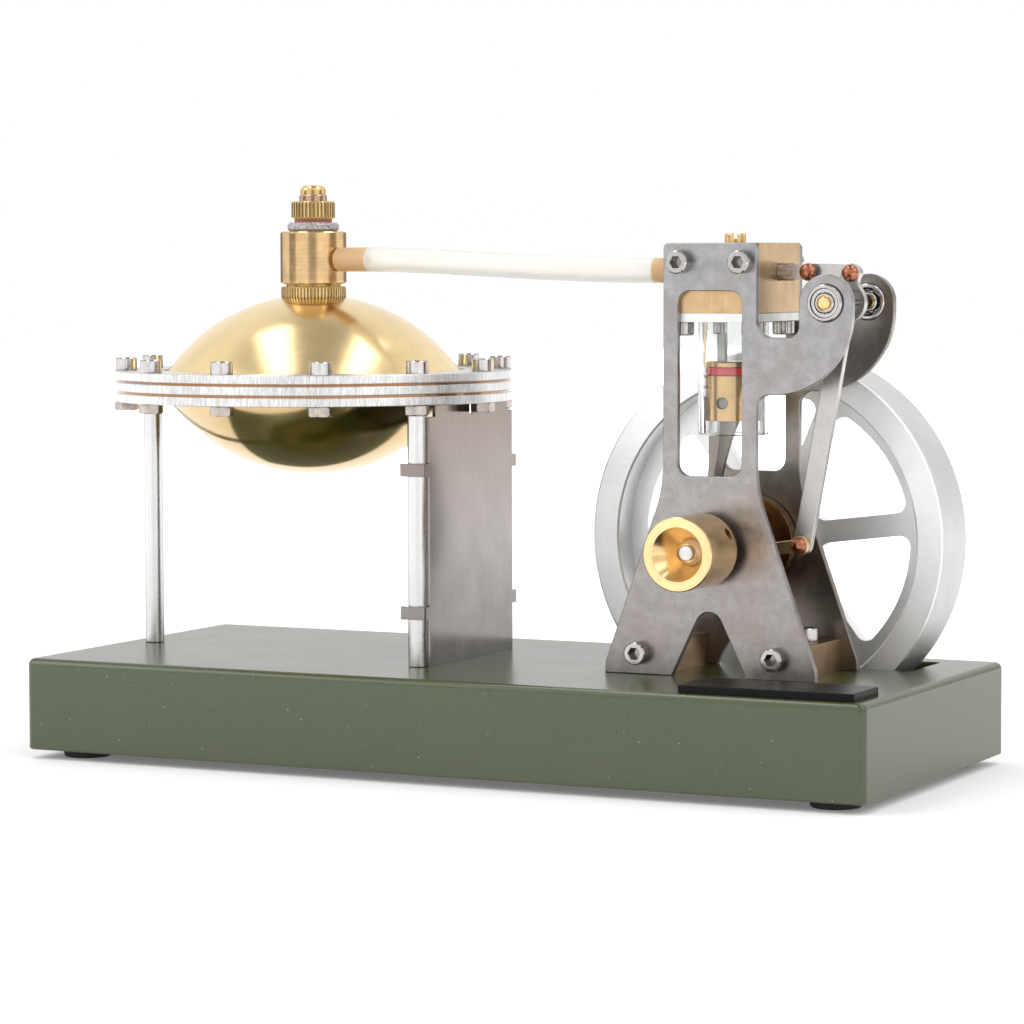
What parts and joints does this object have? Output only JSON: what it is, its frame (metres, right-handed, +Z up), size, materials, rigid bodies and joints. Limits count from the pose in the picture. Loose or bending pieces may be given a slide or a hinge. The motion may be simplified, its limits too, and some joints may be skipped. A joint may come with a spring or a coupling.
{
  "type": "model steam engine",
  "caption": "Tabletop live-steam model: lens-shaped brass boiler on posts feeds a glass-cylinder engine with crank, flywheel, belt pulley and lever-driven valve on a sheet-metal base.",
  "frame": {"origin": "on the table, under the middle of the base", "axes": "+Z up, +X from the boiler towards the engine, -Y the front with the belt pulley"},
  "size_m": [0.244, 0.11, 0.1563],
  "materials": {
    "green_powder_coat": "satin orange-peel powder coat",
    "black_rubber": "matt",
    "black_plate": "gloss",
    "turned_aluminium": "turned",
    "brushed_aluminium": "brushed",
    "blasted_aluminium": "bead blasted face, turned rim",
    "stainless": "bright",
    "shield_steel": "heat-stained sheet",
    "plate_steel": "tumbled",
    "dark_steel": "oiled",
    "polished_brass": "polished",
    "turned_brass": "turned",
    "copper": "domed copper rivet",
    "grey_washer": "pressed fibre",
    "red_fibre": "fibre sealing ring",
    "spring_steel": "bright wire",
    "clear_silicone": "translucent",
    "red_silicone": "satin",
    "clear_glass": "clear"
  },
  "bodies": {
    "frame": {"base_box": "green_powder_coat", "rubber_feet": "black_rubber", "nameplate": "black_plate", "boiler_posts": "turned_aluminium", "post_screws": "stainless", "heat_shield": "shield_steel", "lower_ring": "brushed_aluminium", "lower_dish": "polished_brass", "middle_ring": "brushed_aluminium", "upper_dish": "polished_brass", "upper_ring": "brushed_aluminium", "ring_bolts": "stainless", "ring_nuts": "dark_steel", "boiler_bush": "turned_brass", "outlet_body": "turned_brass", "outlet_nipple": "turned_brass", "body_washer": "grey_washer", "steam_tube": "clear_silicone", "engine_nipple": "turned_brass", "front_plate": "plate_steel", "rear_plate": "plate_steel", "foot_blocks": "turned_brass", "foot_block_screws": "stainless", "plate_screws": "stainless", "valve_block": "turned_brass", "block_plug": "turned_brass", "cylinder_flange": "turned_aluminium", "flange_screws": "stainless", "glass_cylinder": "clear_glass", "bearing_outers": "stainless", "bearing_balls": "stainless"},
    "plug_seal": {"fibre_ring": "red_fibre"},
    "plug": {"filler_plug": "turned_brass", "valve_seat": "turned_brass", "safety_spring": "spring_steel"},
    "safety_valve": {"safety_valve_stem": "turned_brass"},
    "crankshaft": {"crank_shafts": "stainless", "shaft_spacers": "turned_brass", "eccentric_sheave": "turned_brass", "crank_disc": "turned_brass", "crank_pin": "stainless", "belt_pulley": "turned_brass", "flywheel": "blasted_aluminium", "set_screws": "dark_steel", "crank_bearing_inners": "stainless"},
    "strap": {"eccentric_strap": "turned_brass", "strap_rivet": "copper"},
    "piston": {"piston": "turned_brass", "piston_ring": "red_silicone", "wrist_pin": "stainless"},
    "rod": {"con_rod": "plate_steel", "big_end_bush": "turned_brass"},
    "lever": {"valve_lever": "plate_steel", "lever_rivets": "copper", "rocker_shaft": "turned_brass", "rocker_collar": "stainless", "rocker_bearing_inners": "stainless"},
    "valve": {"valve_spool": "stainless", "spool_rivet": "copper"},
    "link": {"valve_link": "plate_steel"}
  },
  "joints": [
    {"name": "crank_spin", "type": "hinge", "parent": "frame", "child": "crankshaft", "pos_m": [0.06505, 0, 0.061], "axis": [0, 1, 0], "continuous": true},
    {"name": "strap_turn", "type": "hinge", "parent": "crankshaft", "child": "strap", "pos_m": [0.06505, -0.0035, 0.0585], "axis": [0, 1, 0], "continuous": true},
    {"name": "piston_slide", "type": "slide", "parent": "frame", "child": "piston", "axis": [0, 0, 1], "range_m": [-0.00715, 0.00885]},
    {"name": "con_rod_swing", "type": "hinge", "parent": "piston", "child": "rod", "pos_m": [0.06505, 0, 0.0984], "axis": [0, -1, 0], "range_deg": [0, 24.13]},
    {"name": "lever_swing", "type": "hinge", "parent": "frame", "child": "lever", "pos_m": [0.0971, 0, 0.1247], "axis": [0, 1, 0], "range_deg": [-2.2, 2.2]},
    {"name": "valve_slide", "type": "slide", "parent": "frame", "child": "valve", "axis": [1, 0, 0], "range_m": [-0.0003, 0.0003]},
    {"name": "link_turn", "type": "hinge", "parent": "valve", "child": "link", "pos_m": [0.0867, 0.0006, 0.1325], "axis": [0, 1, 0], "range_deg": [-0.35, 0.35]},
    {"name": "plug_turn", "type": "hinge", "parent": "frame", "child": "plug_seal", "pos_m": [-0.06075, 0, 0.1467], "axis": [0, 0, 1], "range_deg": [0, 1080]},
    {"name": "plug_lift", "type": "slide", "parent": "plug_seal", "child": "plug", "axis": [0, 0, 1], "range_m": [0, 0.00301]},
    {"name": "safety_valve_lift", "type": "slide", "parent": "plug", "child": "safety_valve", "axis": [0, 0, 1], "range_m": [0, 0.001], "deforming": ["safety_spring"]}
  ],
  "couplings": [
    {"joint": "strap_turn", "follows": "crank_spin", "ratio": -1},
    {"joint": "valve_slide", "follows": "lever_swing", "m_per_rad": 0.0074},
    {"joint": "link_turn", "follows": "lever_swing", "ratio": 0.1356},
    {"joint": "plug_lift", "follows": "plug_turn", "m_per_rad": 0.00015915}
  ]
}
